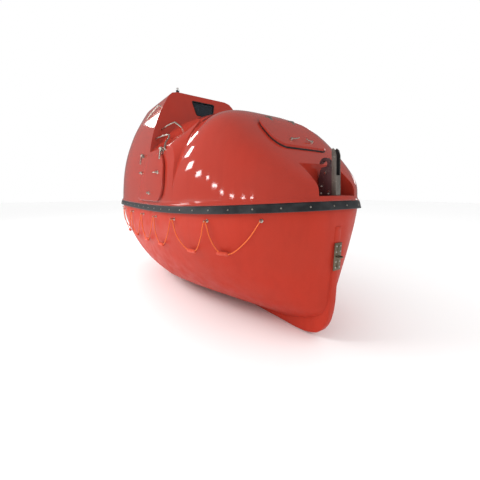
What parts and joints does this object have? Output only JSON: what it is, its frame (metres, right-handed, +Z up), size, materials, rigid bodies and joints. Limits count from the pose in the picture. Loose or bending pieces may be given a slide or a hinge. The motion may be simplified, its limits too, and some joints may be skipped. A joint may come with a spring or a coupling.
{
  "type": "totally enclosed lifeboat",
  "caption": "Small totally enclosed lifeboat with a domed canopy, a helmsman's tower aft, hinged hatches, release hooks fore and aft, grab lines, propeller and rudder.",
  "frame": {"origin": "amidships on the centreline at the waterline", "axes": "+X towards the bow, +Y to port, +Z up"},
  "size_m": [4.9952, 2.2684, 3.2573],
  "materials": {
    "gelcoat_orange": "glossy gelcoat",
    "rubber_black": "satin",
    "steel": "brushed",
    "hook_brown": "satin paint",
    "window": "dark glass",
    "rope_orange": "braided rope",
    "bronze": "satin",
    "pale_plastic": "satin",
    "grey_metal": "satin paint",
    "dark_plastic": "satin",
    "lamp_glass": "clear"
  },
  "bodies": {
    "hull": {"hull_shell": "gelcoat_orange", "rubbing_strake": "rubber_black", "canopy_shell": "gelcoat_orange", "front_window": "window", "painter_plate": "steel", "lamp_base": "dark_plastic", "lamp_lens": "lamp_glass", "fore_hook_cheeks": "hook_brown", "fore_hook_guard": "steel", "aft_hook_cheeks": "hook_brown", "aft_hook_guard": "steel", "lifeline_starboard": "rope_orange", "bench_starboard": "pale_plastic", "upper_rail_starboard": "steel", "lower_rail_starboard": "steel", "tower_rail_starboard": "steel", "lifeline_port": "rope_orange", "bench_port": "pale_plastic", "upper_rail_port": "steel", "lower_rail_port": "steel", "tower_rail_port": "steel", "propeller_guard": "gelcoat_orange", "cabin_floor": "pale_plastic", "engine_block": "grey_metal", "helm_seat": "dark_plastic", "helm_console": "grey_metal"},
    "bow_hatch": {"bow_hatch_lid": "gelcoat_orange"},
    "aft_hatch": {"aft_hatch_lid": "gelcoat_orange"},
    "side_hatch_starboard": {"side_hatch_lid_starboard": "gelcoat_orange"},
    "side_hatch_port": {"side_hatch_lid_port": "gelcoat_orange"},
    "fore_hook": {"fore_hook_beak": "hook_brown"},
    "aft_hook": {"aft_hook_beak": "hook_brown"},
    "screw": {"propeller": "bronze"},
    "rudder_blade": {"rudder": "gelcoat_orange"},
    "wheel": {"helm_wheel": "dark_plastic"}
  },
  "joints": [
    {"name": "bow_hatch_hinge", "type": "hinge", "parent": "hull", "child": "bow_hatch", "pos_m": [1.652, 0, 1.7731], "axis": [0, -1, 0], "range_deg": [0, 105]},
    {"name": "aft_hatch_hinge", "type": "hinge", "parent": "hull", "child": "aft_hatch", "pos_m": [-1.59, 0, 2.6248], "axis": [0, 1, 0], "range_deg": [0, 105]},
    {"name": "side_hatch_hinge_starboard", "type": "hinge", "parent": "hull", "child": "side_hatch_starboard", "pos_m": [0.06, -1.0435, 1.494], "axis": [-1, 0, 0], "range_deg": [0, 85]},
    {"name": "side_hatch_hinge_port", "type": "hinge", "parent": "hull", "child": "side_hatch_port", "pos_m": [0.06, 1.0435, 1.494], "axis": [1, 0, 0], "range_deg": [0, 85]},
    {"name": "fore_hook_pivot", "type": "hinge", "parent": "hull", "child": "fore_hook", "pos_m": [2.32, 0, 1.105], "axis": [0, 1, 0], "range_deg": [0, 60]},
    {"name": "aft_hook_pivot", "type": "hinge", "parent": "hull", "child": "aft_hook", "pos_m": [-2.32, 0, 1.105], "axis": [0, -1, 0], "range_deg": [0, 60]},
    {"name": "propeller_shaft", "type": "hinge", "parent": "hull", "child": "screw", "pos_m": [-1.9, 0, -0.225], "axis": [1, 0, 0], "continuous": true},
    {"name": "rudder_stock", "type": "hinge", "parent": "hull", "child": "rudder_blade", "pos_m": [-2.18, 0, 0], "axis": [0, 0, 1], "range_deg": [-35, 35]},
    {"name": "helm_wheel_shaft", "type": "hinge", "parent": "hull", "child": "wheel", "pos_m": [-0.68, 0, 1.56], "axis": [1, 0, 0], "range_deg": [-180, 180]}
  ],
  "couplings": [
    {"joint": "aft_hook_pivot", "follows": "fore_hook_pivot", "ratio": 1},
    {"joint": "helm_wheel_shaft", "follows": "rudder_stock", "ratio": 5.1429}
  ]
}
